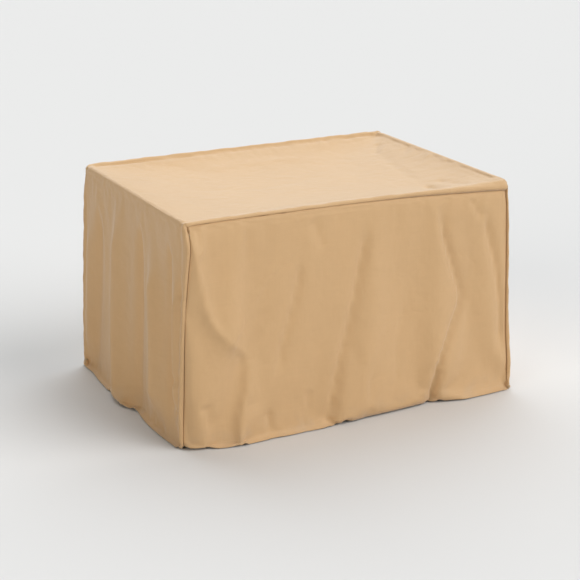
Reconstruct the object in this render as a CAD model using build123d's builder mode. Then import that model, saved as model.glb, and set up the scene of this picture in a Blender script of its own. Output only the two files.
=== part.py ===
from build123d import *
import os

# A grill cover sewn from three cuts of coated cloth, standing in the shape it
# takes over a grill. Millimetres, +Z up. The origin is on the ground under the
# middle of the cover, the front panel faces -Y and the long sides run along X.

# Overall size
top_width = 914.0       # left to right across the top
top_depth = 662.0       # front to back across the top
height = 578.0          # ground to the top
side_flare = 20.0       # how far each side stands out at the hem, past the top's edge
front_flare = 16.0      # the same for the front and the back

# Cloth, tape and thread
cloth = 0.8             # thickness of one layer of cloth
tape = 0.6              # thickness of the binding tape
thread = 0.4            # how far a row of stitches stands off the cloth

# How the cloth turns at the edges
top_roll = 18.0         # radius where the top turns down over the frame below it
corner_roll = 5.0       # radius of the upright corners
sharpest_roll = 0.2     # least radius left on a layer deep inside a corner

# Seams that join the front and back panels to the one-piece top and sides
seam_from_corner = corner_roll + 1.0    # upright seams, in from the corners
front_drop_left = 8.0   # front seam below the top's edge at the left end
front_drop_middle = 10.0    # in the middle
front_drop_right = 30.0  # and at the right end, where the cloth has slid over the edge
back_drop = 8.0         # back seam below the top's edge, level all along
allowance = 12.0        # width of the cloth turned in beside a seam
tape_cover = 8.0        # how far the binding tape reaches over the raw ends
tape_stitch = 3.0       # row of stitches in from the tape's edge
stitch_width = 1.0

# Hem
hem = 20.0              # depth of the cloth turned up inside
hem_stitch = 17.0       # height of the hem's row of stitches
seam_gap = 0.5          # between the top of the hem and the foot of the seam tapes

# Care label, a blank folded tab sewn to the binding of the back panel's right seam
label_width = 35.0
label_height = 50.0
label_thickness = 0.5
label_foot = 60.0       # height of its lower edge
label_tuck = 4.0        # how much of it lies on the binding

# Depths into the cover, from the outside face of the cloth
turned_in = cloth + tape                # outer face of the pair of turned-in layers
pair_middle = turned_in + cloth         # between the panel's layer and the other
pair_inside = pair_middle + cloth
binding_inside = pair_inside + tape

reach = 50.0            # how far cutting shapes run past the cover
hem_width = top_width + 2 * side_flare
hem_length = top_depth + 2 * front_flare
front = -1
back = 1


def half_size(top_size, flare, level):
    """Half of the cover's width or depth at a level, which may be off the cover."""
    return top_size / 2 + flare * (1 - level / height)


def level_outline(level, depth):
    """Width and length of the space inside the cover at a level."""
    width = 2 * (half_size(top_width, side_flare, level) - depth)
    length = 2 * (half_size(top_depth, front_flare, level) - depth)
    return width, length


def plain_block(depth, foot=0.0):
    """The space inside the cover from a given depth below its outside face, with sharp corners."""
    with BuildPart() as block:
        for level in (foot, height - depth):
            with BuildSketch(Plane.XY.offset(level)):
                Rectangle(*level_outline(level, depth))
        loft(ruled=True)
        top_edges = block.faces().sort_by(Axis.Z)[-1].edges()
        fillet(top_edges, max(top_roll - depth, sharpest_roll))
    return block.part


def rolled_block(depth, foot=0.0):
    """The same space with its upright corners rolled as well."""
    corner = max(corner_roll - depth, sharpest_roll)
    with BuildPart() as block:
        add(plain_block(depth, foot))
        for level in (foot, height):
            with BuildSketch(Plane.XY.offset(level)):
                RectangleRounded(*level_outline(level, depth), corner)
        loft(ruled=True, mode=Mode.INTERSECT)
    return block.part


def layer(outer, inner, block=rolled_block):
    """The skin of the cover between two depths, open at the ground."""
    with BuildPart() as skin:
        add(block(outer))
        add(block(inner, foot=-reach), mode=Mode.SUBTRACT)
    return skin.part


def seam_zone(side, grow, foot=-reach):
    """Everything by one end of the cover within its seam line moved out by `grow`.

    It starts behind the roll of the top's edge, so that it stays clear of the
    long edges between the top and the sides."""
    drops = (front_drop_left, front_drop_middle, front_drop_right) if side == front else 3 * (back_drop,)
    ends = [half_size(top_width, side_flare, level) - seam_from_corner + grow for level in (foot, height)]
    left_end, middle, right_end = [height + grow - drop for drop in drops]
    far = top_width / 2
    ceiling = height + reach
    start = top_depth / 2 - top_roll
    with BuildPart() as zone:
        with BuildSketch(Plane.XZ.offset(-side * start)):
            with BuildLine():
                Polyline((-ends[0], foot), (ends[0], foot), (ends[1], height), (-ends[1], height), close=True)
            make_face()
            with BuildLine():
                Polyline((-far, left_end), (-far, ceiling), (far, ceiling), (far, right_end))
                if left_end == middle == right_end:
                    Line((far, right_end), (-far, left_end))
                else:
                    ThreePointArc((far, right_end), (0, middle), (-far, left_end))
            make_face(mode=Mode.SUBTRACT)
        extrude(amount=-side * hem_length)
    return zone.part


def slab(low, high):
    """A level slice of space between two heights."""
    with BuildPart() as slice_of_space:
        with BuildSketch(Plane.XY.offset(low)):
            Rectangle(hem_width + reach, hem_length + reach)
        extrude(amount=high - low)
    return slice_of_space.part


def overlap(first, *others):
    """What all the given shapes share."""
    with BuildPart() as shared:
        add(first)
        for other in others:
            add(other, mode=Mode.INTERSECT)
    return shared.part


def less(first, *others):
    """The first shape with the others cut away."""
    with BuildPart() as rest:
        add(first)
        for other in others:
            add(other, mode=Mode.SUBTRACT)
    return rest.part


def seam_strip(side, outer, inner):
    """Strip that follows a seam, between two distances out from the seam line, above the hem."""
    foot = hem + seam_gap
    return overlap(less(seam_zone(side, outer), seam_zone(side, inner)), slab(foot, height))


def finish(builder, name):
    builder.part.label = name
    export_step(builder.part, f"parts/{name}.step")


os.makedirs("parts", exist_ok=True)

outside_cloth = layer(0, cloth)
hem_cloth = overlap(layer(cloth, 2 * cloth), slab(0, hem))
panel_turn = layer(cloth, pair_middle, plain_block)
panel_turned_in = layer(turned_in, pair_middle, plain_block)
side_turn = layer(cloth, pair_inside, plain_block)
side_turned_in = layer(pair_middle, pair_inside, plain_block)
zones = {side: seam_zone(side, 0) for side in (front, back)}

# Top and both sides, one long cut of cloth that runs from hem to hem over the
# top. Beside each seam it turns in and lies over the panel's own edge.
with BuildPart() as top_and_sides_panel:
    add(less(outside_cloth, *zones.values()))
    add(less(hem_cloth, *zones.values()))
    for side in (front, back):
        add(overlap(side_turn, seam_strip(side, cloth, 0)))
        add(overlap(side_turned_in, seam_strip(side, cloth, -allowance)))
finish(top_and_sides_panel, "top_and_sides_panel")

# Front and back panels, with their edges turned in behind the seam and their
# feet turned up for the hem
for side, name in ((front, "front_panel"), (back, "back_panel")):
    with BuildPart() as end_panel:
        add(overlap(outside_cloth, zones[side]))
        add(overlap(hem_cloth, zones[side]))
        add(overlap(panel_turn, seam_strip(side, 0, -cloth)))
        add(overlap(panel_turned_in, seam_strip(side, 0, -allowance)))
    finish(end_panel, name)

# Binding tape folded over the raw ends of both turned-in edges
for side, name in ((front, "front_seam_binding"), (back, "back_seam_binding")):
    leg = seam_strip(side, tape_cover - allowance, -allowance - tape)
    fold = seam_strip(side, -allowance, -allowance - tape)
    with BuildPart() as binding:
        add(overlap(layer(cloth, turned_in, plain_block), leg))
        add(overlap(layer(turned_in, pair_inside, plain_block), fold))
        add(overlap(layer(pair_inside, binding_inside, plain_block), leg))
    finish(binding, name)

# Row of stitches along the inner face of each binding
stitch_layer = layer(binding_inside, binding_inside + thread, plain_block)
for side, name in ((front, "front_seam_thread"), (back, "back_seam_thread")):
    row = tape_cover - allowance - tape_stitch
    with BuildPart() as stitches:
        add(overlap(stitch_layer, seam_strip(side, row, row - stitch_width)))
    finish(stitches, name)

# Two rows of stitches that hold the hem, one on each face of it
with BuildPart() as hem_thread:
    add(overlap(layer(-thread, 0), slab(hem_stitch, hem_stitch + stitch_width)))
    add(overlap(layer(2 * cloth, 2 * cloth + thread), slab(hem_stitch, hem_stitch + stitch_width)))
finish(hem_thread, "hem_thread")

# Blank care label, with its edge flat against the inner face of the back
# binding. It stops short of the row of stitches.
label_top = label_foot + label_height
tape_edge = half_size(top_width, side_flare, label_top) - seam_from_corner - allowance - tape
label_edge = tape_edge + label_tuck
label_face = layer(binding_inside, binding_inside + label_thickness, plain_block)
with BuildPart() as label_outline:
    with BuildSketch(Plane.XZ):
        with Locations((label_edge - label_width, label_foot)):
            Rectangle(label_width, label_height, align=(Align.MIN, Align.MIN))
    extrude(amount=-hem_length)
with BuildPart() as care_label:
    add(overlap(label_face, label_outline.part))
finish(care_label, "care_label")
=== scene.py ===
import math
import bpy
import numpy as np
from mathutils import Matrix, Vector


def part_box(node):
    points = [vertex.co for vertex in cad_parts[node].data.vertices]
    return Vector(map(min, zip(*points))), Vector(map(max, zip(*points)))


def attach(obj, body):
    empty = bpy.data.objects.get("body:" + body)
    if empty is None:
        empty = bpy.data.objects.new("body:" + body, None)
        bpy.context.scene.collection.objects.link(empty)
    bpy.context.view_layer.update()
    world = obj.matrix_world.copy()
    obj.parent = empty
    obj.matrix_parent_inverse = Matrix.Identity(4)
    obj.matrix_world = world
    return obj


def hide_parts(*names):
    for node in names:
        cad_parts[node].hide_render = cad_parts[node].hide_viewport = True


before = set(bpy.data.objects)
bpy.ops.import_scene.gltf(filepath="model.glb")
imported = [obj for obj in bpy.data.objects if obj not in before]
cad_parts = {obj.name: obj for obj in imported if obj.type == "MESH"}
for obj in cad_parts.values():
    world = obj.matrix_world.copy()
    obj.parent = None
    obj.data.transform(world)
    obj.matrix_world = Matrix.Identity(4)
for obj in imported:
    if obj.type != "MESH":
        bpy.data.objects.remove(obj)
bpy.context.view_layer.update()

bpy.ops.object.select_all(action="DESELECT")

# The cover's overall shape in metres. The hem's size and the height come from the frame.
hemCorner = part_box("top_and_sides_panel")[1]
cover = {
    "hemHalfX": hemCorner.x,
    "hemHalfY": hemCorner.y,
    "height": hemCorner.z,
    "sideFlare": 0.020,             # how far the hem stands out past the top's edge
    "frontFlare": 0.016,
    "topRoll": 0.017,               # radius of the top's edges
    "cornerRoll": 0.006,            # radius of the upright corners low down
    "rollStart": 0.10,              # height below the top where the corners begin to soften
    "seamFromCorner": 0.006,
    "frontDrop": (0.008, 0.010, 0.030),     # front seam below the top's edge: left, middle, right
    "backDrop": (0.008, 0.008, 0.008),
    "cloth": 0.0008,
    "tape": 0.0006,
    "hem": 0.020,
}
# Rows and columns of the cloth, finer beside the hem and the seams
weaveGrid = {
    "cell": 0.012,
    "hemSteps": (0.006, 0.012, 0.018, 0.027),
    "seamSteps": (0.004, 0.008, 0.013, 0.019, 0.027),
    "wrapCells": 2,
}


def spacedLevels(length, lowSteps, highSteps, cell):
    low, high = lowSteps[-1], length - highSteps[-1]
    count = max(2, round((high - low) / cell))
    middle = np.linspace(low, high, count + 1)
    ends = [0.0, *lowSteps[:-1]], [*(length - np.array(highSteps[:-1]))[::-1], length]
    return np.concatenate([ends[0], middle, ends[1]]) / length


def halfX(z):
    return cover["hemHalfX"] - cover["sideFlare"] * z / cover["height"]


def halfY(z):
    return cover["hemHalfY"] - cover["frontFlare"] * z / cover["height"]


def seamDrop(x, drops):
    # a smooth line through the drop at the left end, the middle and the right end
    left, middle, right = drops
    s = x / halfX(cover["height"])
    return middle + s * (right - left) / 2 + s * s * ((left + right) / 2 - middle)


def smoothStep(x, start, end):
    t = np.clip((x - start) / (end - start), 0, 1)
    return t * t * (3 - 2 * t)


def roundOff(points):
    # pulls a sharp box's surface onto rolls along its edges, tighter down the uprights
    x, y, z = points[..., 0], points[..., 1], points[..., 2]
    height = cover["height"]
    soft = smoothStep(z, height - cover["rollStart"], height - cover["topRoll"])
    roll = cover["cornerRoll"] + (cover["topRoll"] - cover["cornerRoll"]) * soft
    inner = np.stack([
        np.clip(x, roll - halfX(z), halfX(z) - roll),
        np.clip(y, roll - halfY(z), halfY(z) - roll),
        np.minimum(z, height - roll),
    ], -1)
    away = points - inner
    outward = away / np.maximum(np.linalg.norm(away, axis=-1, keepdims=True), 1e-9)
    return inner + outward * roll[..., None], outward


def panelPoints(side, drops, upLevels, acrossLevels):
    # grid of an end panel, hem to top seam by left to right; side is -1 in front, 1 behind
    height, inset = cover["height"], cover["seamFromCorner"]
    w, u = np.meshgrid(upLevels, acrossLevels, indexing="ij")
    topX = (2 * u - 1) * (halfX(height) - inset)
    z = w * (height - seamDrop(topX, drops))
    x = (2 * u - 1) * (halfX(z) - inset)
    return np.stack([x, side * halfY(z), z], -1)


def saddlePoints(frontEdge, backEdge, depthLevels, wrapCells):
    # grid of the top and sides: along the seam by front seam to back seam
    height = cover["height"]
    rows = []
    corners = []
    for side, edge in ((-1, frontEdge), (1, backEdge)):
        fold = edge.copy()
        n = len(upLevels)
        leftSide = np.arange(n)
        rightSide = np.arange(len(edge) - n, len(edge))
        for part, sign in ((leftSide, -1), (rightSide, 1)):
            z = edge[part, 2] / edge[part[-1] if sign < 0 else part[0], 2] * height
            fold[part] = np.stack([sign * halfX(z), side * halfY(z), z], -1)
        top = np.arange(n - 1, len(edge) - n + 1)
        along = (edge[top, 0] - edge[top[0], 0]) / (edge[top[-1], 0] - edge[top[0], 0])
        fold[top] = np.stack([
            (2 * along - 1) * halfX(height),
            np.full(len(top), side * halfY(height)),
            np.full(len(top), height),
        ], -1)
        corners.append(fold)
    wrap = np.linspace(0, 1, wrapCells + 1)
    for t in wrap[:-1]:
        rows.append(frontEdge + (corners[0] - frontEdge) * t)
    for t in depthLevels:
        rows.append(corners[0] + (corners[1] - corners[0]) * t)
    for t in wrap[1:]:
        rows.append(corners[1] + (backEdge - corners[1]) * t)
    return np.stack(rows, 1)


def seamEdge(panel):
    # the panel's edge from the left hem up, across the top and down to the right hem
    return np.concatenate([panel[:-1, 0], panel[-1, :-1], panel[::-1, -1]])


def weldIds(shape, saddleShape):
    # vertex numbers of the front, the back and the top and sides, shared along the seams
    count = shape[0] * shape[1]
    frontIds = np.arange(count).reshape(shape)
    backIds = frontIds + count
    saddleIds = np.zeros(saddleShape, int)
    saddleIds[:, 0] = seamEdge(frontIds)
    saddleIds[:, -1] = seamEdge(backIds)
    inside = saddleShape[0] * (saddleShape[1] - 2)
    saddleIds[:, 1:-1] = 2 * count + np.arange(inside).reshape(saddleShape[0], -1)
    return {"front": frontIds, "back": backIds, "saddle": saddleIds}


def gridFaces(ids, flip=False):
    a, b, c, d = ids[:-1, :-1], ids[:-1, 1:], ids[1:, 1:], ids[1:, :-1]
    quads = np.stack([a, b, c, d] if not flip else [d, c, b, a], -1).reshape(-1, 4)
    return quads


def weldPoints(ids, grids):
    total = max(i.max() for i in ids.values()) + 1
    welded = np.zeros((total, grids["front"].shape[-1]))
    for name in ("saddle", "front", "back"):
        welded[ids[name]] = grids[name]
    return welded


def coverFaces(ids):
    return np.concatenate([
        gridFaces(ids["front"]),
        gridFaces(ids["back"], flip=True),
        gridFaces(ids["saddle"], flip=True),
    ])


def runningLength(line):
    # distance from the start to each point of a line
    return np.concatenate([[0], np.cumsum(np.linalg.norm(np.diff(line, axis=0), axis=1))])


def runningLengths(grid, axis):
    # the same along each row (axis 1) or up each column (axis 0) of a grid
    lengths = np.cumsum(np.linalg.norm(np.diff(grid, axis=axis), axis=2), axis)
    return np.concatenate([np.zeros_like(lengths.take([0], axis)), lengths], axis)


def midPoints(values):
    # the points half way along a smooth line through the values
    p = values
    if len(p) < 3:
        return (p[:-1] + p[1:]) / 2
    middle = (9 * (p[1:-2] + p[2:-1]) - p[:-3] - p[3:]) / 16
    first = (3 * p[0] + 6 * p[1] - p[2]) / 8
    last = (3 * p[-1] + 6 * p[-2] - p[-3]) / 8
    return np.concatenate([first[None], middle, last[None]])


def refineRows(values, breaks=()):
    # doubles the rows, and keeps a corner at each break
    stops = [0, *breaks, len(values) - 1]
    pieces = [values[:1]]
    for start, end in zip(stops, stops[1:]):
        part = values[start:end + 1]
        doubled = np.zeros((2 * len(part) - 1, *part.shape[1:]))
        doubled[::2] = part
        doubled[1::2] = midPoints(part)
        pieces.append(doubled[1:])
    return np.concatenate(pieces)


def refineGrid(values, breaks=()):
    rows = refineRows(values, breaks)
    return np.swapaxes(refineRows(np.swapaxes(rows, 0, 1)), 0, 1)


height = cover["height"]
upLevels = spacedLevels(height, weaveGrid["hemSteps"], weaveGrid["seamSteps"], weaveGrid["cell"])
acrossLevels = spacedLevels(
    2 * halfX(height), weaveGrid["seamSteps"], weaveGrid["seamSteps"], weaveGrid["cell"])
depthLevels = spacedLevels(
    2 * halfY(height), weaveGrid["seamSteps"], weaveGrid["seamSteps"], weaveGrid["cell"])

sharp = {
    "front": panelPoints(-1, cover["frontDrop"], upLevels, acrossLevels),
    "back": panelPoints(1, cover["backDrop"], upLevels, acrossLevels),
}
sharp["saddle"] = saddlePoints(
    seamEdge(sharp["front"]), seamEdge(sharp["back"]), depthLevels, weaveGrid["wrapCells"])
cornerRows = (len(upLevels) - 1, len(upLevels) + len(acrossLevels) - 2)
smooth = {name: roundOff(grid) for name, grid in sharp.items()}
shape = smooth["front"][0].shape[:2]
ids = weldIds(shape, smooth["saddle"][0].shape[:2])
points = weldPoints(ids, {name: pair[0] for name, pair in smooth.items()})
outward = weldPoints(ids, {name: pair[1] for name, pair in smooth.items()})
faces = coverFaces(ids)
print("cloth grid:", len(points), "points,", len(faces), "faces")

# Folds of each face: a path on the face, how far it stands out, and its width to each side.
# The first number of a path point runs along the face, the second up it (or back, on the top).
folds = {
    "front": [
        # the slack by the left seam: it rises to a long edge that swings out to the right
        dict(path=[(-.452, .575), (-.440, .500), (-.422, .410), (-.398, .325), (-.345, .268),
                   (-.292, .238)],
             out=.019, width=(.130, .034)),
        dict(path=[(-.345, .262), (-.300, .225), (-.298, .170), (-.322, .085), (-.330, .000)],
             out=.009, width=(.080, .014)),
        dict(path=[(-.416, .130), (-.400, .060), (-.398, .000)], out=-.005, width=(.020, .010)),
        dict(path=[(-.150, .450), (-.165, .360), (-.200, .240), (-.222, .150)],
             out=-.006, width=(.022, .011)),
        dict(path=[(.040, .520), (.012, .396), (-.018, .269), (-.058, .130), (-.083, .020)],
             out=-.010, width=(.036, .013)),
        dict(path=[(.240, .556), (.268, .430), (.300, .340), (.318, .283), (.286, .200),
                   (.250, .110), (.232, .000)],
             out=-.010, width=(.034, .014)),
        dict(path=[(.385, .520), (.398, .440), (.424, .350), (.440, .250), (.446, .090)],
             out=-.009, width=(.028, .014)),
        dict(path=[(-.249, .080), (-.239, .000)], out=-.006, width=(.014, .008)),
        dict(path=[(-.130, .110), (-.150, .000)], out=-.004, width=(.016, .010)),
        dict(path=[(.043, .130), (.028, .000)], out=-.003, width=(.018, .010)),
        dict(path=[(.150, .300), (.125, .180), (.120, .060)], out=-.003, width=(.026, .020)),
        dict(path=[(.337, .540), (.375, .480)], out=-.004, width=(.014, .008)),
        dict(path=[(-.120, .545), (-.085, .460)], out=-.003, width=(.016, .012)),
        dict(path=[(-.300, .560), (-.290, .450)], out=-.002, width=(.018, .018)),
    ],
    "left": [
        dict(path=[(.215, .500), (.228, .330), (.258, .160), (.280, .020)],
             out=-.011, width=(.038, .056), crease=.014),
        dict(path=[(.090, .480), (.095, .250), (.060, .020)],
             out=.010, width=(.056, .052), crease=.014),
        dict(path=[(-.070, .545), (-.055, .300), (-.040, .120), (-.045, .010)],
             out=-.014, width=(.028, .052), crease=.012),
        dict(path=[(-.150, .430), (-.165, .200), (-.155, .045)],
             out=.013, width=(.048, .042), crease=.014),
        dict(path=[(-.250, .545), (-.250, .300), (-.256, .120), (-.262, .040)],
             out=-.012, width=(.020, .034), crease=.010),
        dict(path=[(-.300, .450), (-.298, .260), (-.304, .080)], out=.007, width=(.018, .014)),
        dict(path=[(-.335, .405), (-.285, .385)], out=-.004, width=(.010, .008)),
        dict(path=[(-.335, .185), (-.280, .165)], out=-.005, width=(.012, .009)),
        dict(path=[(-.335, .092), (-.285, .080)], out=-.004, width=(.010, .008)),
        dict(path=[(.290, .420), (.300, .250), (.315, .060)],
             out=.005, width=(.026, .026), crease=.010),
    ],
    "right": [
        dict(path=[(-.240, .500), (-.215, .330), (-.225, .080)],
             out=-.010, width=(.042, .028), crease=.012),
        dict(path=[(-.100, .380), (-.120, .200), (-.100, .000)],
             out=.010, width=(.060, .052), crease=.012),
        dict(path=[(.050, .530), (.020, .300), (.035, .040)],
             out=-.010, width=(.022, .050), crease=.012),
        dict(path=[(.215, .410), (.225, .250), (.205, .000)],
             out=-.008, width=(.044, .026), crease=.012),
        dict(path=[(-.330, .310), (-.275, .280)], out=-.004, width=(.012, .009)),
    ],
    "back": [
        dict(path=[(.375, .540), (.345, .380), (.355, .200), (.330, .000)],
             out=-.009, width=(.022, .044), crease=.012),
        dict(path=[(.190, .450), (.180, .300), (.140, .120), (.135, .000)],
             out=-.008, width=(.046, .024), crease=.010),
        dict(path=[(.020, .360), (.000, .200), (.015, .000)],
             out=.009, width=(.060, .070), crease=.014),
        dict(path=[(-.110, .545), (-.150, .330), (-.190, .060)],
             out=-.009, width=(.020, .044), crease=.010),
        dict(path=[(-.330, .420), (-.310, .250), (-.325, .000)],
             out=-.009, width=(.044, .024), crease=.012),
    ],
    "top": [
        dict(path=[(.290, -.285), (.301, -.150), (.320, -.030), (.370, .200)],
             out=-.0035, width=(.014, .024)),
        dict(path=[(.301, -.172), (.290, -.285)], out=-.003, width=(.010, .010)),
        dict(path=[(.341, -.160), (.368, -.260)], out=-.003, width=(.010, .010)),
        dict(path=[(.344, .161), (.403, .245)], out=-.003, width=(.012, .012)),
        dict(path=[(-.330, -.230), (-.120, -.190), (.120, -.215)], out=-.003, width=(.030, .020)),
        dict(path=[(-.300, .080), (-.060, .040), (.180, .090)], out=-.003, width=(.030, .040)),
        dict(path=[(-.180, .220), (.060, .235), (.250, .200)], out=.003, width=(.030, .030)),
    ],
}
# How far each hem stands out of line along its length
hemWaves = {
    "front": [
        (-.475, -.002), (-.43, .005), (-.39, .012), (-.33, .016), (-.25, .010), (-.14, .005), (-.05, -.014),
        (.03, -.022), (.14, -.019), (.26, -.016), (.33, -.002), (.40, .013), (.47, .005),
    ],
    "left": [
        (-.345, .003), (-.27, .010), (-.23, .015), (-.14, .022), (-.03, .015),
        (.05, .012), (.12, .003), (.17, .006), (.22, .011), (.34, .001),
    ],
    "right": [
        (-.345, .004), (-.22, -.004), (-.10, .014), (.03, .000), (.14, .012), (.24, -.004), (.34, .004),
    ],
    "back": [
        (-.47, .004), (-.33, -.008), (-.20, .012), (-.08, -.004), (.02, .014),
        (.15, -.010), (.28, .010), (.38, -.006), (.47, .004),
    ],
}
# The front left corner is drawn in towards the back, low down
cornerPull = {"depth": 0.027, "reachX": 0.085, "reachY": 0.150, "top": 0.57, "full": 0.10}
fold = {
    "fade": 0.18,                   # share of a fold's length over which each end dies away
    "edgeFade": 0.035,              # distance from the top over which folds grow
    "wavePower": 1.4,               # how quickly the hem's wave dies away upwards
    "crease": 0.005,                # how softly a fold turns at its line
    "lean": 0.004,                  # distance over which one side's width passes to the other's
    "openEnd": 0.03,                # a fold that reaches lower than this runs on to the hem
    "reach": 0.7,                   # share of its width over which a fold dies away sideways
    "faceFrom": 0.2,                # how squarely cloth must face a side to take its folds
    "faceFull": 0.7,
    "pathSteps": 6,
}


def smoothPath(path):
    # a rounded path through the given points
    path = np.array(path, float)
    if len(path) < 3:
        return path
    knots = runningLength(path)
    at = np.linspace(0, knots[-1], fold["pathSteps"] * len(path))
    return np.stack([smoothCurve(at, knots, path[:, k]) for k in range(2)], -1)


def pathDistance(across, up, path):
    # distance from a path, which side of it, and how far along it from 0 to 1
    steps = np.linalg.norm(np.diff(path, axis=0), axis=1)
    starts = np.concatenate([[0], np.cumsum(steps)])
    best = np.full(across.shape, 1e9)
    side = np.zeros(across.shape)
    along = np.zeros(across.shape)
    for (ax, ay), (bx, by), length, start in zip(path, path[1:], steps, starts):
        dx, dy = (bx - ax) / length, (by - ay) / length
        t = np.clip((across - ax) * dx + (up - ay) * dy, 0, length)
        gapX, gapY = across - ax - t * dx, up - ay - t * dy
        gap = np.hypot(gapX, gapY)
        nearer = gap < best
        best = np.where(nearer, gap, best)
        side = np.where(nearer, gapX * -dy + gapY * dx, side)
        along = np.where(nearer, (start + t) / starts[-1], along)
    return best, side, along


def foldHeight(across, up, entry):
    gap, side, along = pathDistance(across, up, smoothPath(entry["path"]))
    left, right = entry["width"]
    crease = entry.get("crease", fold["crease"])
    away = np.hypot(gap, crease) - crease
    # the two sides meet evenly on the line and have their own widths away from it
    lean = 0.5 + 0.5 * np.tanh(side / fold["lean"])
    width = right + (left - right) * lean
    ends = smoothStep(along, 0, fold["fade"])
    if entry["path"][-1][1] > fold["openEnd"]:
        ends = ends * (1 - smoothStep(along, 1 - fold["fade"], 1))
    return entry["out"] * np.exp(-away / (fold["reach"] * width)) * ends


faceAxes = {
    "front": (0, -1, 0),
    "back": (0, 1, 0),
    "left": (-1, 0, 0),
    "right": (1, 0, 0),
    "top": (0, 0, 1),
}


def faceShares(points, outward):
    # for each face: the place on it, and how much a point belongs to it
    x, y, z = points.T
    places = {"front": (x, z), "back": (x, z), "left": (y, z), "right": (y, z), "top": (x, y)}
    shares = {}
    for name, axis in faceAxes.items():
        facing = outward @ np.array(axis, float)
        shares[name] = (*places[name], smoothStep(facing, fold["faceFrom"], fold["faceFull"]))
    return shares


def foldMoves(points, outward):
    # how the folds of each face move the cloth
    move = np.zeros_like(points)
    for name, (across, up, share) in faceShares(points, outward).items():
        lift = sum(foldHeight(across, up, entry) for entry in folds[name])
        if name != "top":
            lift = lift * smoothStep(cover["height"] - up, 0, fold["edgeFade"])
        move += (lift * share)[:, None] * np.array(faceAxes[name], float)
    return move


def hemMoves(points, outward):
    # how the hem's wave moves the cloth
    move = np.zeros_like(points)
    for name, (across, up, share) in faceShares(points, outward).items():
        if name in hemWaves:
            knots, values = np.array(hemWaves[name]).T
            rise = np.clip(1 - up / cover["height"], 0, 1)
            wave = smoothCurve(across, knots, values) * rise ** fold["wavePower"]
            move += (wave * share)[:, None] * np.array(faceAxes[name], float)
    x, y, z = points.T
    pull = cornerPull["depth"] * (1 - smoothStep(z, cornerPull["full"], cornerPull["top"]))
    pull = pull * np.exp(-((x + halfX(0)) / cornerPull["reachX"]) ** 2)
    move[:, 1] += pull * (1 - smoothStep(y + halfY(0), 0.0, cornerPull["reachY"]))
    return move


def smoothCurve(x, knots, values):
    # cubic Hermite curve through the knots
    slopes = np.gradient(values, knots)
    i = np.clip(np.searchsorted(knots, x) - 1, 0, len(knots) - 2)
    span = knots[i + 1] - knots[i]
    t = np.clip((x - knots[i]) / span, 0, 1)
    return ((2 * t**3 - 3 * t**2 + 1) * values[i] + (t**3 - 2 * t**2 + t) * span * slopes[i]
            + (3 * t**2 - 2 * t**3) * values[i + 1] + (t**3 - t**2) * span * slopes[i + 1])


# The top sags inside its rolled edges, and is pushed up a little behind and in the middle
topSag = {
    "depth": 0.010,
    "rim": 0.012,                   # flat edge before the sag starts
    "reachX": 0.168,                # distance from the ends where the sag is full
    "reachY": 0.140,
    "backLift": 0.005,
    "backFrom": (0.20, 0.30),       # the lift grows between these places
    "backFade": 0.25,
    "crown": 0.015,
    "crownAt": (0.06, 0.06),
    "crownSize": (0.24, 0.17),
}


def sagTop(points, outward):
    x, y, z = points.T
    inX = smoothStep(halfX(cover["height"]) - abs(x), topSag["rim"], topSag["reachX"])
    inY = smoothStep(halfY(cover["height"]) - abs(y), topSag["rim"], topSag["reachY"])
    ends = smoothStep(halfX(0) - abs(x), 0, topSag["backFade"])
    (atX, atY), (sizeX, sizeY) = topSag["crownAt"], topSag["crownSize"]
    facing = np.clip(outward[:, 2], 0, 1)
    sag = -topSag["depth"] * inX * inY * facing
    lift = topSag["backLift"] * smoothStep(y, *topSag["backFrom"]) * ends * facing
    crown = topSag["crown"] * np.exp(-((x - atX) / sizeX) ** 2 - ((y - atY) / sizeY) ** 2) * facing
    moved = points.copy()
    moved[:, 2] += sag + lift + crown
    return moved


# Draping: the folded cloth is let down over a hidden frame the size of the grill
drape = {
    "frames": 40,
    "quality": 7,
    "mass": 0.08,
    "tension": 40.0,
    "compression": 40.0,
    "shear": 25.0,
    "bending": 4.0,
    "growth": 0.006,                # cloth cut a little larger than the frame it hangs on
    "foldShare": 0.5,               # how much of the folds is put back after draping
    "gap": 0.003,
    "frameGap": 0.004,
    "rim": 0.055,
    "recess": 0.050,
    "bevelShare": 0.7,              # the frame's edges beside the cloth's roll
    "frameGrip": 18,
    "groundGrip": 30,
    "groundSize": 3,
    "airDamping": 2.0,
}


def meshObject(name, points, faces):
    # a mesh of points, kept from reaching below the ground
    points = np.maximum(points, (-np.inf, -np.inf, 0.0))
    mesh = bpy.data.meshes.new(name)
    mesh.from_pydata([tuple(p) for p in points], [], [tuple(int(i) for i in f) for f in faces])
    mesh.update()
    thing = bpy.data.objects.new(name, mesh)
    bpy.context.scene.collection.objects.link(thing)
    return thing


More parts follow.
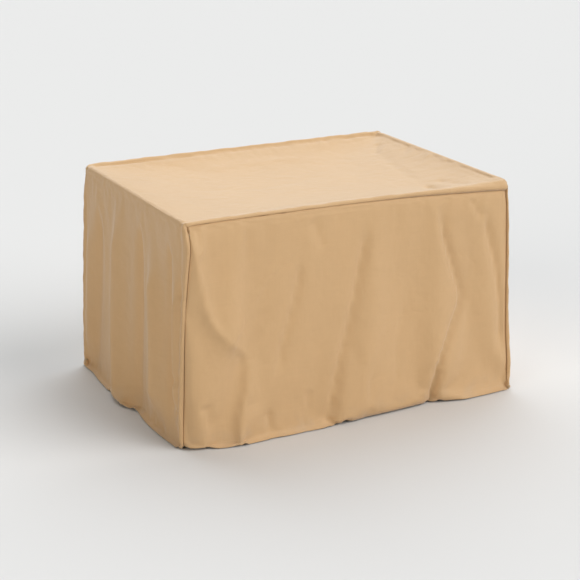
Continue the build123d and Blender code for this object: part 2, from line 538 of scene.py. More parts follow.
def makeDrapeFrame():
    # a box with a hollow top, and the ground
    frameHeight = cover["height"] - drape["gap"]
    width = 2 * (halfX(cover["height"]) - drape["frameGap"])
    depth = 2 * (halfY(cover["height"]) - drape["frameGap"])
    bpy.ops.mesh.primitive_cube_add(size=1, location=(0, 0, frameHeight / 2))
    block = bpy.context.active_object
    block.scale = (width, depth, frameHeight)
    bpy.ops.object.transform_apply(location=True, scale=True)
    bpy.ops.object.mode_set(mode="EDIT")
    bpy.ops.mesh.select_all(action="DESELECT")
    bpy.ops.object.mode_set(mode="OBJECT")
    top = max(block.data.polygons, key=lambda face: face.center.z)
    top.select = True
    bpy.ops.object.mode_set(mode="EDIT")
    bpy.ops.mesh.inset(thickness=drape["rim"])
    bpy.ops.transform.translate(value=(0, 0, -drape["recess"]))
    bpy.ops.object.mode_set(mode="OBJECT")
    bevel = block.modifiers.new("bevel", "BEVEL")
    bevel.width = cover["topRoll"] * drape["bevelShare"]
    bevel.segments = 3
    bpy.ops.object.modifier_apply(modifier="bevel")
    bpy.ops.mesh.primitive_plane_add(size=drape["groundSize"], location=(0, 0, -drape["gap"]))
    ground = bpy.context.active_object
    for thing, grip in ((block, drape["frameGrip"]), (ground, drape["groundGrip"])):
        thing.modifiers.new("collide", "COLLISION")
        thing.collision.thickness_outer = drape["gap"]
        thing.collision.cloth_friction = grip
    bpy.ops.object.select_all(action="DESELECT")
    return block, ground


def drapeCloth(points, faces):
    cloth = meshObject("drapingCloth", points, faces)
    helpers = makeDrapeFrame()
    modifier = cloth.modifiers.new("drape", "CLOTH")
    settings = modifier.settings
    settings.quality = drape["quality"]
    settings.mass = drape["mass"]
    settings.tension_stiffness = drape["tension"]
    settings.compression_stiffness = drape["compression"]
    settings.shear_stiffness = drape["shear"]
    settings.bending_model = "ANGULAR"
    settings.bending_stiffness = drape["bending"]
    settings.shrink_min = -drape["growth"]
    settings.air_damping = drape["airDamping"]
    modifier.collision_settings.distance_min = drape["gap"]
    modifier.collision_settings.use_self_collision = False
    scene = bpy.context.scene
    modifier.point_cache.frame_start = 1
    modifier.point_cache.frame_end = drape["frames"]
    for step in range(1, drape["frames"] + 1):
        scene.frame_set(step)
    settled = cloth.evaluated_get(bpy.context.evaluated_depsgraph_get()).to_mesh()
    co = np.zeros(3 * len(points))
    settled.vertices.foreach_get("co", co)
    for thing in (cloth, *helpers):
        bpy.data.objects.remove(thing, do_unlink=True)
    scene.frame_set(1)
    return co.reshape(-1, 3)


creases = foldMoves(points, outward)
points = sagTop(points + creases + hemMoves(points, outward), outward)
before = points.copy()
points = drapeCloth(points, faces)
points = points + drape["foldShare"] * creases
print("draped: largest move", round(float(np.linalg.norm(points - before, axis=1).max()), 4))


def gridNormals(ids, points):
    # outward direction of the welded cloth at every point
    faces = coverFaces(ids)
    a, b, c, d = (points[faces[:, k]] for k in range(4))
    across = np.cross(c - a, d - b)
    normals = np.zeros_like(points)
    for k in range(4):
        np.add.at(normals, faces[:, k], across)
    return normals / np.maximum(np.linalg.norm(normals, axis=1, keepdims=True), 1e-12)


def splitGrids(ids, values):
    return {name: values[index] for name, index in ids.items()}


def unrolledGrids(grids):
    # flat cut coordinates of each panel: along its rows and up its columns
    cuts = {}
    for name, grid in grids.items():
        u, v = runningLengths(grid, 1), runningLengths(grid, 0)
        u = np.broadcast_to(u.mean(0), u.shape) - u.mean(0)[-1] / 2
        v = np.broadcast_to(v.mean(1)[:, None], v.shape)
        cuts[name] = np.stack([u, v], -1)
    return cuts


def seamGaps(grids):
    # distance in from the seam on each panel, and distance along it
    gaps = {}
    for name, grid in grids.items():
        columns = runningLengths(grid, 1)
        fromStart, fromEnd = columns, columns[:, -1:] - columns
        if name == "saddle":
            gaps[name] = (fromStart, fromEnd)
        else:
            rows = runningLengths(grid, 0)
            gaps[name] = (np.minimum(np.minimum(fromStart, fromEnd), rows[-1:] - rows),)
    return gaps


# Seam: the cloth is pulled in at the stitches and stands proud on both sides
seam = {
    "valley": 0.0030,               # how deep the stitches pull
    "valleyWidth": 0.0026,
    "panelReach": 0.024,            # how far in the end panel rises from the seam
    "panelDip": 0.0024,
    "panelDipFrom": 0.004,
    "ridge": 0.0022,                # the turned-in edges under the cloth beside the seam
    "ridgeAt": 0.0085,
    "ridgeWidth": 0.0060,
    "dip": 0.0020,
    "dipAt": 0.0220,
    "dipWidth": 0.0070,
    "lip": 0.0012,                  # the top and sides stand proud of the end panel at the stitches
    "lipReach": 0.005,
    "step": 0.0016,
    "stepReach": 0.008,
    "pucker": 0.35,                 # how much the ridge comes and goes along the seam
    "puckerAlong": (0.9, 0.2, 1.1),
    "puckerWaves": ((61, 0.0, 1.0), (97, 1.3, 0.7), (173, 0.4, 0.5)),   # turns, start, share
    "puckerTotal": 1.6,
}


def seamMoves(grids, wave):
    moves = {}
    for name, gaps in seamGaps(grids).items():
        move = np.zeros(grids[name].shape[:2])
        for gap in gaps:
            move -= seam["valley"] * np.exp(-(gap / seam["valleyWidth"]) ** 2)
            if name == "saddle":
                ridge = np.exp(-((gap - seam["ridgeAt"]) / seam["ridgeWidth"]) ** 2)
                dip = np.exp(-((gap - seam["dipAt"]) / seam["dipWidth"]) ** 2)
                move += seam["ridge"] * ridge * (1 + seam["pucker"] * wave[name])
                move -= seam["dip"] * dip * (1 - seam["pucker"] * wave[name])
            else:
                low = 1 - smoothStep(gap, 0, seam["panelReach"])
                move -= seam["panelDip"] * low * smoothStep(gap, 0, seam["panelDipFrom"])
        moves[name] = move
    return moves


def puckerWave(grids):
    waves = {}
    for name, grid in grids.items():
        along = grid @ np.array(seam["puckerAlong"])
        total = sum(share * np.sin(along * turns + start) for turns, start, share in seam["puckerWaves"])
        waves[name] = total / seam["puckerTotal"]
    return waves


coarse = splitGrids(ids, points)
nominal = splitGrids(ids, weldPoints(ids, {name: pair[0] for name, pair in smooth.items()}))
fine = {
    "front": refineGrid(coarse["front"]),
    "back": refineGrid(coarse["back"]),
    "saddle": refineGrid(coarse["saddle"], cornerRows),
}
flat = {
    "front": refineGrid(nominal["front"]),
    "back": refineGrid(nominal["back"]),
    "saddle": refineGrid(nominal["saddle"], cornerRows),
}
fineIds = weldIds(fine["front"].shape[:2], fine["saddle"].shape[:2])
finePoints = weldPoints(fineIds, fine)
normals = gridNormals(fineIds, finePoints)
moves = {name: move[..., None] for name, move in seamMoves(flat, puckerWave(flat)).items()}
finePoints = finePoints + normals * weldPoints(fineIds, moves)
normals = gridNormals(fineIds, finePoints)
fine = splitGrids(fineIds, finePoints)
fineNormals = splitGrids(fineIds, normals)
for name, gaps in seamGaps(flat).items():
    reach, rise = seam["stepReach"], -seam["step"]
    if name == "saddle":
        reach, rise = seam["lipReach"], seam["lip"]
    for gap in gaps:
        lift = rise * (1 - smoothStep(gap, 0, reach))
        fine[name] = fine[name] + fineNormals[name] * lift[..., None]
cuts = unrolledGrids(flat)
print("refined cloth:", len(finePoints), "points")


# Layers behind the outer face of the cloth, from the face inwards, at a seam and at the hem
stack = {
    "slit": 0.0009,                 # gap left between the two panels at the stitches
    "panelEdge": 0.0023,            # turned-in edge of the end panel
    "saddleEdge": 0.00235,          # turned-in edge of the top and sides
    "tapeTop": 0.0038,
    "hem": 0.0020,                  # turned-up hem, away from the seams
    "hemOverSeam": 0.0047,          # the same where it crosses the bound edges
    "hemCross": (0.012, 0.019),     # distance from the seam over which the hem drops down
    "hemRound": 0.0010,
}
allowance = 0.012                   # width of the turned-in edges
edgeReach = (0.0, 0.002, 0.004, 0.007, 0.010, allowance)
firstEdgeRow = 1                    # they start just above the hem's fold
panelInset = 0.45                   # columns by which an end panel's face stops short of the seam


def sampleGrid(grid, row, column):
    # the grid's values between its rows and columns
    row = np.clip(row, 0, grid.shape[0] - 1 - 1e-6)
    column = np.clip(column, 0, grid.shape[1] - 1 - 1e-6)
    i, j = np.floor(row).astype(int), np.floor(column).astype(int)
    s, t = (row - i)[..., None], (column - j)[..., None]
    return ((grid[i, j] * (1 - s) + grid[i + 1, j] * s) * (1 - t)
            + (grid[i, j + 1] * (1 - s) + grid[i + 1, j + 1] * s) * t)


def ringSample(grid, inward):
    # values along a line that follows the end panel's seam, so many columns in from it
    n, m = grid.shape[0], grid.shape[1]
    up = np.arange(n) * (n - 1 - inward) / (n - 1)
    across = inward + np.arange(m) * (m - 1 - 2 * inward) / (m - 1)
    rows = np.concatenate([up[:-1], np.full(m - 1, n - 1 - inward), up[::-1]])
    columns = np.concatenate([np.full(n - 1, float(inward)), across[:-1], np.full(n, m - 1 - inward)])
    return sampleGrid(grid, rows, columns)


def ringLayer(side, reach, depth):
    # a line at a distance in from the seam and a depth behind the outer face
    gaps = cuts[side][0, :, 0] - cuts[side][0, 0, 0]
    inward = float(np.interp(reach, gaps, np.arange(len(gaps))))
    line = ringSample(fine[side], inward)
    facing = ringSample(fineNormals[side], inward)
    facing /= np.linalg.norm(facing, axis=1, keepdims=True)
    return line - facing * depth, facing


class Sheet:
    # points, cut coordinates and faces of one sheet, put together from strips
    def __init__(self, grid, cut, flip):
        self.index = np.arange(grid.shape[0] * grid.shape[1]).reshape(grid.shape[:2])
        self.points = [grid.reshape(-1, 3)]
        self.cuts = [cut.reshape(-1, 2)]
        self.faces = [gridFaces(self.index, flip)]
        self.count = self.index.size
        self.edges = {(int(f[k]), int(f[(k + 1) % 4])) for f in self.faces[0] for k in range(4)}

    def attach(self, edge, rows, cuts):
        # adds rows of points beyond an edge of the sheet
        rows, cuts = np.array(rows), np.array(cuts)
        fresh = self.count + np.arange(rows.shape[0] * rows.shape[1]).reshape(rows.shape[:2])
        ids = np.concatenate([np.asarray(edge)[None], fresh])
        flip = (int(edge[0]), int(edge[1])) not in self.edges
        self.points.append(rows.reshape(-1, 3))
        self.cuts.append(cuts.reshape(-1, 2))
        self.faces.append(gridFaces(ids, flip=not flip))
        self.count += fresh.size

    def build(self, name, thickness):
        faces = np.concatenate(self.faces)
        points, cut = np.concatenate(self.points), np.concatenate(self.cuts)
        return clothObject(name, points, faces, cut, thickness)


def clothObject(name, points, faces, cut, thickness):
    # a smooth sheet with its cut coordinates, then given its thickness inwards
    thing = meshObject(name, points, faces)
    layer = thing.data.uv_layers.new(name="cut")
    loops = np.zeros(len(thing.data.loops), int)
    thing.data.loops.foreach_get("vertex_index", loops)
    layer.data.foreach_set("uv", cut[loops].ravel())
    thing.data.polygons.foreach_set("use_smooth", np.ones(len(faces), bool))
    solid = thing.modifiers.new("thickness", "SOLIDIFY")
    solid.thickness = thickness
    solid.offset = -1
    solid.use_even_offset = False
    bpy.context.view_layer.objects.active = thing
    thing.select_set(True)
    bpy.ops.object.modifier_apply(modifier="thickness")
    thing.select_set(False)
    inner = np.zeros(len(thing.data.polygons), np.float32)
    inner[len(faces):2 * len(faces)] = 1
    thing.data.attributes.new("inner", "FLOAT", "FACE").data.foreach_set("value", inner)
    return thing


def gridObject(name, grid, cut, flip, thickness):
    # a strip or patch of cloth from its grid
    index = np.arange(grid.shape[0] * grid.shape[1]).reshape(grid.shape[:2])
    return clothObject(name, grid.reshape(-1, 3), gridFaces(index, flip), cut.reshape(-1, 2), thickness)


def hemDepth(seamGap):
    # how far behind the face the turned-up cloth lies, more where it crosses a seam
    crossing = 1 - smoothStep(seamGap, *stack["hemCross"])
    return stack["hem"] + (stack["hemOverSeam"] - stack["hem"]) * crossing


def hemRows(grid, facing, seamGap, count):
    # the hem's fold and the cloth turned up inside, from the hem edge
    depth = hemDepth(seamGap)
    under = grid[0] - facing[0] * depth[:, None] / 2
    under[:, 2] -= stack["hemRound"]
    rows = [under]
    for k in range(count):
        rows.append(grid[k] - facing[k] * depth[:, None])
    return rows


def seamGapAcross(grid):
    # distance from the nearer end of each row of a grid, at the hem
    lengths = runningLength(grid[0])
    return np.minimum(lengths, lengths[-1] - lengths)


def hemHeights(cut):
    # distance above the hem of the rows nearest it
    return abs(cut[:len(cut) // 2, 0, 1] - cut[0, 0, 1])


def turnUpHem(sheet, grid, facing, cut, index):
    count = 1 + int(np.searchsorted(hemHeights(cut), cover["hem"]))
    rows = hemRows(grid, facing, seamGapAcross(grid), count)
    low = cut[0]
    cutRows = [low]
    for k in range(count):
        cutRows.append(np.stack([low[:, 0], 2 * low[:, 1] - cut[k, :, 1]], -1))
    sheet.attach(index[0], rows, cutRows)


def endPanel(side, name):
    # front or back: the panel, its hem and its turned-in edges
    grid, facing, cut = fine[side].copy(), fineNormals[side], cuts[side]
    rows, columns = np.arange(grid.shape[0]) * 1.0, np.arange(grid.shape[1]) * 1.0
    grid[:, 0] = sampleGrid(fine[side], rows, np.full(len(rows), panelInset))
    grid[:, -1] = sampleGrid(fine[side], rows, np.full(len(rows), len(columns) - 1 - panelInset))
    grid[-1] = sampleGrid(fine[side], np.full(len(columns), len(rows) - 1 - panelInset), columns)
    grid[0, :, 2] += stack["hemRound"]
    sheet = Sheet(grid, cut, flip=side == "back")
    turnUpHem(sheet, grid, facing, cut, sheet.index)
    ring = seamEdge(sheet.index)
    keep = slice(firstEdgeRow, len(ring) - firstEdgeRow)
    rows, cutRows = [], []
    edgeCut = seamEdge(cut)
    for reach in edgeReach:
        line, _ = ringLayer(side, max(reach, stack["slit"]), stack["panelEdge"])
        rows.append(line[keep])
        cutRows.append((edgeCut + (0, reach))[keep])
    sheet.attach(ring[keep], rows, cutRows)
    return sheet.build(name, cover["cloth"])


def topAndSides(name):
    # one long panel from hem to hem over the top, with its turned-in edges
    grid, facing, cut = fine["saddle"].copy(), fineNormals["saddle"], cuts["saddle"]
    grid[0, :, 2] += stack["hemRound"]
    grid[-1, :, 2] += stack["hemRound"]
    sheet = Sheet(grid, cut, flip=True)
    turnUpHem(sheet, grid, facing, cut, sheet.index)
    turnUpHem(sheet, grid[::-1], facing[::-1], cut[::-1], sheet.index[::-1])
    for side, column, sign in (("front", 0, -1), ("back", -1, 1)):
        keep = slice(firstEdgeRow, len(grid) - firstEdgeRow)
        rows, cutRows = [], []
        for reach in edgeReach:
            line, _ = ringLayer(side, reach, stack["saddleEdge"])
            rows.append(line[keep])
            cutRows.append((cut[:, column] + (sign * reach, 0))[keep])
        sheet.attach(sheet.index[keep, column], rows, cutRows)
    return sheet.build(name, cover["cloth"])


# Tape folded over the turned-in edges: distance in from the seam and depth of its outer face
tapeShape = (
    (0.0040, 0.0038), (0.0060, 0.0038), (0.0085, 0.0038), (0.0110, 0.0038),
    (0.0124, 0.0035), (0.0129, 0.0023), (0.0124, 0.0011),
    (0.0110, 0.00085), (0.0085, 0.00085), (0.0060, 0.00085), (0.0040, 0.00085),
)


def seamTape(side, name):
    lines = [ringLayer(side, reach, depth)[0] for reach, depth in tapeShape]
    grid = np.stack(lines)[:, firstEdgeRow:-firstEdgeRow]
    along, over = runningLength(grid[0]), runningLength(grid[:, 0])
    cut = np.stack(np.broadcast_arrays(along[None, :], over[:, None]), -1)
    return gridObject(name, grid, cut, side == "back", cover["tape"])


# Stitches: each one a short thread that dips into the cloth at both ends
stitch = {
    "pitch": 0.0042,
    "length": 0.0036,
    "first": 0.00168,               # where the first stitch of a line starts
    "radius": 0.00028,
    "stations": (0.0, 0.12, 0.5, 0.88, 1.0),
    "heights": (-0.00040, 0.00010, 0.00022, 0.00010, -0.00040),
    "bindingReach": 0.0090,         # stitch line through the tape, in from the seam
    "hemLine": 0.0170,              # stitch line above the hem
}


def stitchPoints(line, facing):
    # corner points of four-sided stitches along a line on the cloth
    lengths = runningLength(line)
    starts = np.arange(stitch["first"], lengths[-1] - stitch["pitch"], stitch["pitch"])
    at = starts[:, None] + np.array(stitch["stations"]) * stitch["length"]
    middle = np.stack([np.interp(at, lengths, line[:, k]) for k in range(3)], -1)
    up = np.stack([np.interp(at, lengths, facing[:, k]) for k in range(3)], -1)
    up /= np.linalg.norm(up, axis=-1, keepdims=True)
    ahead = middle[:, -1:] - middle[:, :1]
    ahead /= np.linalg.norm(ahead, axis=-1, keepdims=True)
    across = np.cross(np.broadcast_to(ahead, up.shape), up)
    middle = middle + up * np.array(stitch["heights"])[:, None]
    across, up = across * stitch["radius"], up * stitch["radius"]
    return np.stack([middle + across, middle + up, middle - across, middle - up], 2)


def stitchObject(name, lines):
    # one mesh of all the stitches along several lines
    blocks = np.concatenate([stitchPoints(*line) for line in lines])
    count, rings = blocks.shape[:2]
    base = (np.arange(count) * rings * 4)[:, None, None]
    quads = []
    for ring in range(rings - 1):
        for k in range(4):
            a, b = ring * 4 + k, ring * 4 + (k + 1) % 4
            quads.append([b, a, a + 4, b + 4])
    quads.append([0, 1, 2, 3])
    quads.append([(rings - 1) * 4 + k for k in (3, 2, 1, 0)])
    faces = (base + np.array(quads)[None]).reshape(-1, 4)
    thing = meshObject(name, blocks.reshape(-1, 3), faces)
    thing.data.polygons.foreach_set("use_smooth", np.ones(len(faces), bool))
    return thing


def hemLines(inside):
    # stitch lines round the hem, outside or on the turned-up cloth
    lines = []
    for name, grid in fine.items():
        facing, cut = fineNormals[name], cuts[name]
        for flipRows in ((False,) if name != "saddle" else (False, True)):
            step = slice(None, None, -1) if flipRows else slice(None)
            heights = hemHeights(cut[step])
            row = np.full(grid.shape[1], np.interp(stitch["hemLine"], heights, np.arange(len(heights))))
            line = sampleGrid(grid[step], row, np.arange(grid.shape[1]) * 1.0)
            out = sampleGrid(facing[step], row, np.arange(grid.shape[1]) * 1.0)
            out /= np.linalg.norm(out, axis=1, keepdims=True)
            if inside:
                depth = hemDepth(seamGapAcross(grid[step]))
                line, out = line - out * depth[:, None], -out
            lines.append((line, out))
    return lines


def bindingLine(side):
    line, facing = ringLayer(side, stitch["bindingReach"], stack["tapeTop"])
    keep = slice(firstEdgeRow, len(line) - firstEdgeRow)
    return line[keep], -facing[keep]


# Care label, blank, held under the stitches of the back binding on its right side
label = {
    "width": 0.035,
    "height": 0.050,
    "foot": 0.060,
    "thickness": 0.0005,
    "start": 0.0080,                # where its sewn edge lies, in from the seam
    "curl": 0.0060,                 # how far its free edge stands off the cloth
    "curlPower": 1.6,
    "curlRise": (0.6, 0.5),         # share of the curl at its foot, and how much more at its top
    "cells": (14, 18),
}


def careLabel(name):
    gaps = cuts["back"][0, :, 0] - cuts["back"][0, 0, 0]
    heights = cuts["back"][:, 0, 1] - cuts["back"][0, 0, 1]
    reach = np.linspace(0, 1, label["cells"][0] + 1)
    rise = np.linspace(0, 1, label["cells"][1] + 1)
    across, up = np.meshgrid(reach, rise)
    last = fine["back"].shape[1] - 1
    column = last - np.interp(label["start"] + across * label["width"], gaps, np.arange(len(gaps)))
    row = np.interp(label["foot"] + up * label["height"], heights, np.arange(len(heights)))
    place = sampleGrid(fine["back"], row, column)
    facing = sampleGrid(fineNormals["back"], row, column)
    facing /= np.linalg.norm(facing, axis=-1, keepdims=True)
    flatTop = stack["tapeTop"] + label["thickness"]
    curlLow, curlMore = label["curlRise"]
    depth = flatTop + label["curl"] * across ** label["curlPower"] * (curlLow + curlMore * up)
    grid = place - facing * depth[..., None]
    cut = np.stack([across * label["width"], up * label["height"]], -1)
    return gridObject(name, grid, cut, True, label["thickness"])


pieces = {
    "top_and_sides_cloth": topAndSides("top_and_sides_cloth"),
    "front_cloth": endPanel("front", "front_cloth"),
    "back_cloth": endPanel("back", "back_cloth"),
    "front_binding": seamTape("front", "front_binding"),
    "back_binding": seamTape("back", "back_binding"),
    "front_seam_stitches": stitchObject("front_seam_stitches", [bindingLine("front")]),
    "back_seam_stitches": stitchObject("back_seam_stitches", [bindingLine("back")]),
    "hem_stitches": stitchObject("hem_stitches", hemLines(False) + hemLines(True)),
    "blank_care_label": careLabel("blank_care_label"),
}
print("pieces:", {name: len(piece.data.polygons) for name, piece in pieces.items()})


# Patterns shared by the materials: noise scales, and how much each pattern counts
patterns = {
    "crossing": 0.35,               # the threads' crossings, beside their unevenness
    "yarnScale": 700,
    "dye": ((4.0, 0.09), (38.0, 0.05)),
    "yarnStretch": (420, 9),        # streaks along one way of the cloth, then the other
    "yarnShare": 0.05,
    "dustTop": 0.075,               # height at which the dust ends
    "dustScale": 22.0,
    "dustPatches": (0.40, 0.70),
    "rumpleScales": (16.0, 55.0),
    "rumpleTwists": (0.6, 0.3),
    "rumpleFine": 0.25,
    "fuzzScale": 900.0,
    "fuzz": (0.85, 1.1),
}


def newGroup(name, inputs, outputs):
    group = bpy.data.node_groups.new(name, "ShaderNodeTree")
    for socket, value in inputs.items():
        kind = "NodeSocketVector" if value is None else "NodeSocketFloat"
        item = group.interface.new_socket(name=socket, in_out="INPUT", socket_type=kind)
        if value is not None:
            item.default_value = value
    for socket in outputs:
        group.interface.new_socket(name=socket, in_out="OUTPUT", socket_type="NodeSocketFloat")
    given, result = group.nodes.new("NodeGroupInput"), group.nodes.new("NodeGroupOutput")
    return group, given.outputs, result.inputs


def connect(tree, socket, value):
    if isinstance(value, bpy.types.NodeSocket):
        tree.links.new(value, socket)
    else:
        socket.default_value = value


def calculate(tree, operation, *values):
    node = tree.nodes.new("ShaderNodeMath")
    node.operation = operation
    for socket, value in zip(node.inputs, values):
        connect(tree, socket, value)
    return node.outputs[0]


def ramp(tree, value, start, end, low, high):
    node = tree.nodes.new("ShaderNodeMapRange")
    node.interpolation_type = "SMOOTHSTEP"
    for socket, item in zip(node.inputs, (value, start, end, low, high)):
        connect(tree, socket, item)
    return node.outputs[0]


def stretched(tree, vector, factors):
    node = tree.nodes.new("ShaderNodeVectorMath")
    node.operation = "MULTIPLY"
    tree.links.new(vector, node.inputs[0])
    node.inputs[1].default_value = factors
    return node.outputs[0]


def noise(tree, vector, scale, detail=2.0, distortion=0.0):
    node = tree.nodes.new("ShaderNodeTexNoise")
    tree.links.new(vector, node.inputs["Vector"])
    node.inputs["Scale"].default_value = scale
    node.inputs["Detail"].default_value = detail
    node.inputs["Distortion"].default_value = distortion
    return node.outputs[0]


def makeWeave():
    # plain weave: threads over and under each other, each a little uneven
    tree, given, result = newGroup("weave", {"Cut": None, "Pitch": 0.0006}, ["Height"])
    apart = tree.nodes.new("ShaderNodeSeparateXYZ")
    tree.links.new(given["Cut"], apart.inputs[0])
    waves = []
    for k in range(2):
        turns = calculate(tree, "DIVIDE", apart.outputs[k], given["Pitch"])
        waves.append(calculate(tree, "SINE", calculate(tree, "MULTIPLY", turns, math.tau)))
    crossing = calculate(tree, "MULTIPLY", calculate(tree, "MULTIPLY", *waves), patterns["crossing"])
    uneven = noise(tree, given["Cut"], patterns["yarnScale"], 1.0)
    tree.links.new(calculate(tree, "ADD", crossing, uneven), result["Height"])
    return tree


def makeTone():
    # slight unevenness of the dye and of the yarn, near 1
    tree, given, result = newGroup("tone", {"Cut": None, "Place": None}, ["Shade"])
    parts = [(noise(tree, given["Place"], scale, 3.0), share) for scale, share in patterns["dye"]]
    for stretch in (patterns["yarnStretch"], patterns["yarnStretch"][::-1]):
        streaks = noise(tree, stretched(tree, given["Cut"], (*stretch, 1)), 1.0)
        parts.append((streaks, patterns["yarnShare"]))
    total = 1.0 - sum(share for _, share in parts) / 2
    for value, share in parts:
        total = calculate(tree, "ADD", calculate(tree, "MULTIPLY", value, share), total)
    tree.links.new(total, result["Shade"])
    return tree


def makeDust():
    # dust and scuffs low down, near the ground
    tree, given, result = newGroup("dust", {"Place": None}, ["Mask"])
    apart = tree.nodes.new("ShaderNodeSeparateXYZ")
    tree.links.new(given["Place"], apart.inputs[0])
    low = ramp(tree, apart.outputs[2], 0.0, patterns["dustTop"], 1.0, 0.0)
    specks = noise(tree, given["Place"], patterns["dustScale"], 4.0)
    patches = ramp(tree, specks, *patterns["dustPatches"], 0.0, 1.0)
    tree.links.new(calculate(tree, "MULTIPLY", low, patches), result["Mask"])
    return tree


def makeRumple():
    # small soft unevenness of cloth that has been folded away
    tree, given, result = newGroup("rumple", {"Place": None}, ["Height"])
    broad, small = [
        noise(tree, given["Place"], scale, 2.0, twist)
        for scale, twist in zip(patterns["rumpleScales"], patterns["rumpleTwists"])
    ]
    small = calculate(tree, "MULTIPLY", small, patterns["rumpleFine"])
    tree.links.new(calculate(tree, "ADD", broad, small), result["Height"])
    return tree


groups = {"weave": makeWeave(), "tone": makeTone(), "dust": makeDust(), "rumple": makeRumple()}
# Finish of each material
sheenTint = (1.0, 0.97, 0.92, 1)
finishes = {
    "cover_cloth": {
        "color": (0.585, 0.375, 0.190),
        "inner": (0.46, 0.33, 0.19),        # the coated inner face
        "dust": (0.42, 0.37, 0.31),
        "dustShare": 0.15,
        "roughness": 0.60,
        "innerRoughness": 0.48,
        "specular": 0.30,
        "sheen": 0.30,
        "sheenRoughness": 0.45,
        "pitch": 0.0007,
        "weaveDepth": 0.00010,
        "rumpleDepth": 0.0028,
    },
    "binding_tape": {
        "color": (0.36, 0.22, 0.105),
        "roughness": 0.70,
        "specular": 0.25,
        "sheen": 0.20,
        "sheenRoughness": 0.5,
        "pitch": 0.0011,
        "weaveDepth": 0.00016,
    },
    "sewing_thread": {
        "color": (0.62, 0.43, 0.24),
        "roughness": 0.55,
        "specular": 0.35,
        "sheen": 0.15,
        "sheenRoughness": 0.4,
    },
    "label_cloth": {
        "color": (0.74, 0.73, 0.69),
        "roughness": 0.50,
        "specular": 0.35,
        "sheen": 0.25,
        "sheenRoughness": 0.4,
        "pitch": 0.0005,
        "weaveDepth": 0.00006,
    },
}


def useGroup(tree, name, **values):
    node = tree.nodes.new("ShaderNodeGroup")
    node.node_tree = groups[name]
    for socket, value in values.items():
        connect(tree, node.inputs[socket], value)
    return node.outputs[0]


def mixColors(tree, kind, factor, first, second):
    node = tree.nodes.new("ShaderNodeMix")
    node.data_type = "RGBA"
    node.blend_type = kind
    sockets = [socket for socket in node.inputs if socket.enabled]
    for socket, value in zip(sockets, (factor, first, second)):
        connect(tree, socket, value)
    return [socket for socket in node.outputs if socket.enabled][0]


def addBump(tree, height, depth, normal=None):
    node = tree.nodes.new("ShaderNodeBump")
    node.inputs["Distance"].default_value = depth
    tree.links.new(height, node.inputs["Height"])
    if normal is not None:
        tree.links.new(normal, node.inputs["Normal"])
    return node.outputs[0]


def makeMaterial(name, look):
    material = bpy.data.materials.new(name)
    material.use_nodes = True
    tree = material.node_tree
    shader = tree.nodes["Principled BSDF"]
    shader.inputs["Roughness"].default_value = look["roughness"]
    shader.inputs["Specular IOR Level"].default_value = look["specular"]
    shader.inputs["Sheen Weight"].default_value = look["sheen"]
    shader.inputs["Sheen Roughness"].default_value = look["sheenRoughness"]
    shader.inputs["Sheen Tint"].default_value = sheenTint
    color = (*look["color"], 1)
    place = tree.nodes.new("ShaderNodeTexCoord").outputs["Object"]
    if "pitch" not in look:
        shade = ramp(tree, noise(tree, place, patterns["fuzzScale"]), 0.3, 0.7, *patterns["fuzz"])
        tree.links.new(mixColors(tree, "MULTIPLY", 1.0, color, shade), shader.inputs["Base Color"])
        return material
    layer = tree.nodes.new("ShaderNodeUVMap")
    layer.uv_map = "cut"
    cut = layer.outputs[0]
    if "inner" in look:
        inner = tree.nodes.new("ShaderNodeAttribute")
        inner.attribute_name = "inner"
        inside = inner.outputs["Fac"]
        color = mixColors(tree, "MIX", inside, color, (*look["inner"], 1))
        roughness = ramp(tree, inside, 0.0, 1.0, look["roughness"], look["innerRoughness"])
        tree.links.new(roughness, shader.inputs["Roughness"])
    color = mixColors(tree, "MULTIPLY", 1.0, color, useGroup(tree, "tone", Cut=cut, Place=place))
    if "dust" in look:
        mask = calculate(tree, "MULTIPLY", useGroup(tree, "dust", Place=place), look["dustShare"])
        color = mixColors(tree, "MIX", mask, color, (*look["dust"], 1))
    tree.links.new(color, shader.inputs["Base Color"])
    normal = None
    if "rumpleDepth" in look:
        normal = addBump(tree, useGroup(tree, "rumple", Place=place), look["rumpleDepth"])
    weave = useGroup(tree, "weave", Cut=cut, Pitch=look["pitch"])
    tree.links.new(addBump(tree, weave, look["weaveDepth"], normal), shader.inputs["Normal"])
    return material


materials = {name: makeMaterial(name, look) for name, look in finishes.items()}
# Each piece, the part of the frame it stands for, and its material
pieceRoles = {
    "top_and_sides_cloth": ("top_and_sides_panel", "cover_cloth"),
    "front_cloth": ("front_panel", "cover_cloth"),
    "back_cloth": ("back_panel", "cover_cloth"),
    "front_binding": ("front_seam_binding", "binding_tape"),
    "back_binding": ("back_seam_binding", "binding_tape"),
    "front_seam_stitches": ("front_seam_thread", "sewing_thread"),
    "back_seam_stitches": ("back_seam_thread", "sewing_thread"),
    "hem_stitches": ("hem_thread", "sewing_thread"),
    "blank_care_label": ("care_label", "label_cloth"),
}
for name, (node, slot) in pieceRoles.items():
    pieces[name].data.materials.append(materials[slot])
    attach(pieces[name], "root")
    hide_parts(node)


# Studio: a pale floor and broad soft lights
studio = {
    "floorSize": 60,
    "floorAt": -0.0009,
    "floorColor": (0.66, 0.645, 0.63),
    "worldColor": (1.0, 1.0, 1.0),
    "worldStrength": 0.05,
}
# Where each light comes from, its strength, how many degrees across it is, and its tint
lights = {
    "frontRight": dict(comesFrom=(0.95, -1.0, 1.0), strength=2.5, angle=50, tint=(1.0, 1.0, 1.0)),
    "left": dict(comesFrom=(-1.0, -0.5, 0.35), strength=1.15, angle=40, tint=(1.0, 0.95, 0.86)),
    "above": dict(comesFrom=(0.35, 0.75, 1.0), strength=2.75, angle=70, tint=(0.94, 1.0, 1.05)),
}


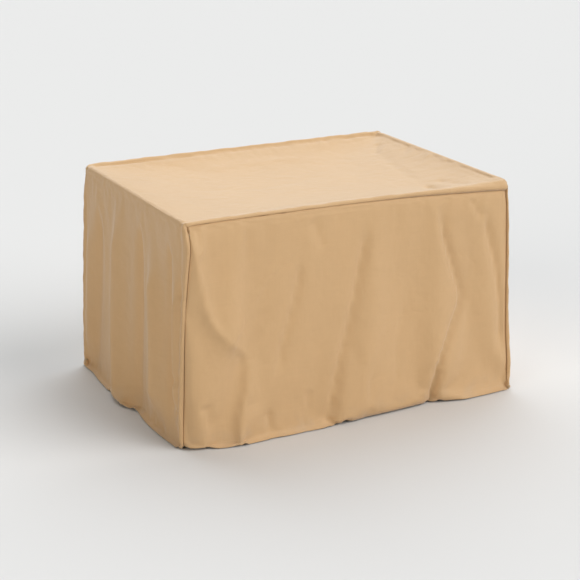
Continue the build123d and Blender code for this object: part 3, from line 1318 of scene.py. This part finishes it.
def softSun(name, comesFrom, strength, angle, tint):
    data = bpy.data.lights.new(name, "SUN")
    data.energy = strength
    data.angle = math.radians(angle)
    data.color = tint
    lamp = bpy.data.objects.new(name, data)
    bpy.context.scene.collection.objects.link(lamp)
    lamp.rotation_euler = Vector(comesFrom).to_track_quat("Z", "Y").to_euler()


def makeStudio():
    bpy.ops.mesh.primitive_plane_add(size=studio["floorSize"], location=(0, 0, studio["floorAt"]))
    floor = bpy.context.active_object
    floor.name = "floor"
    floor.select_set(False)
    material = bpy.data.materials.new("floor")
    material.use_nodes = True
    shader = material.node_tree.nodes["Principled BSDF"]
    shader.inputs["Base Color"].default_value = (*studio["floorColor"], 1)
    shader.inputs["Roughness"].default_value = 1.0
    shader.inputs["Specular IOR Level"].default_value = 0.0
    floor.data.materials.append(material)
    world = bpy.data.worlds.new("studio")
    bpy.context.scene.world = world
    world.use_nodes = True
    background = world.node_tree.nodes["Background"]
    background.inputs["Color"].default_value = (*studio["worldColor"], 1)
    background.inputs["Strength"].default_value = studio["worldStrength"]
    for name, light in lights.items():
        softSun(name, **light)


view = {
    "azimuth": -27.386,             # degrees round from straight in front
    "elevation": 18.152,
    "distance": 4.269,
    "aim": (-0.0123, -0.0073, 0.2518),
    "lens": 98.63,
    "sensor": 36,
    "clip": (0.05, 100),
}


def makeCamera():
    azimuth, elevation = math.radians(view["azimuth"]), math.radians(view["elevation"])
    level = math.cos(elevation)
    back = Vector((math.sin(azimuth) * level, -math.cos(azimuth) * level, math.sin(elevation)))
    data = bpy.data.cameras.new("camera")
    data.sensor_width = view["sensor"]
    data.lens = view["lens"]
    data.clip_start, data.clip_end = view["clip"]
    camera = bpy.data.objects.new("camera", data)
    bpy.context.scene.collection.objects.link(camera)
    camera.location = Vector(view["aim"]) + back * view["distance"]
    camera.rotation_euler = (-back).to_track_quat("-Z", "Y").to_euler()
    bpy.context.scene.camera = camera
    bpy.context.scene.view_settings.view_transform = "Standard"


makeStudio()
makeCamera()
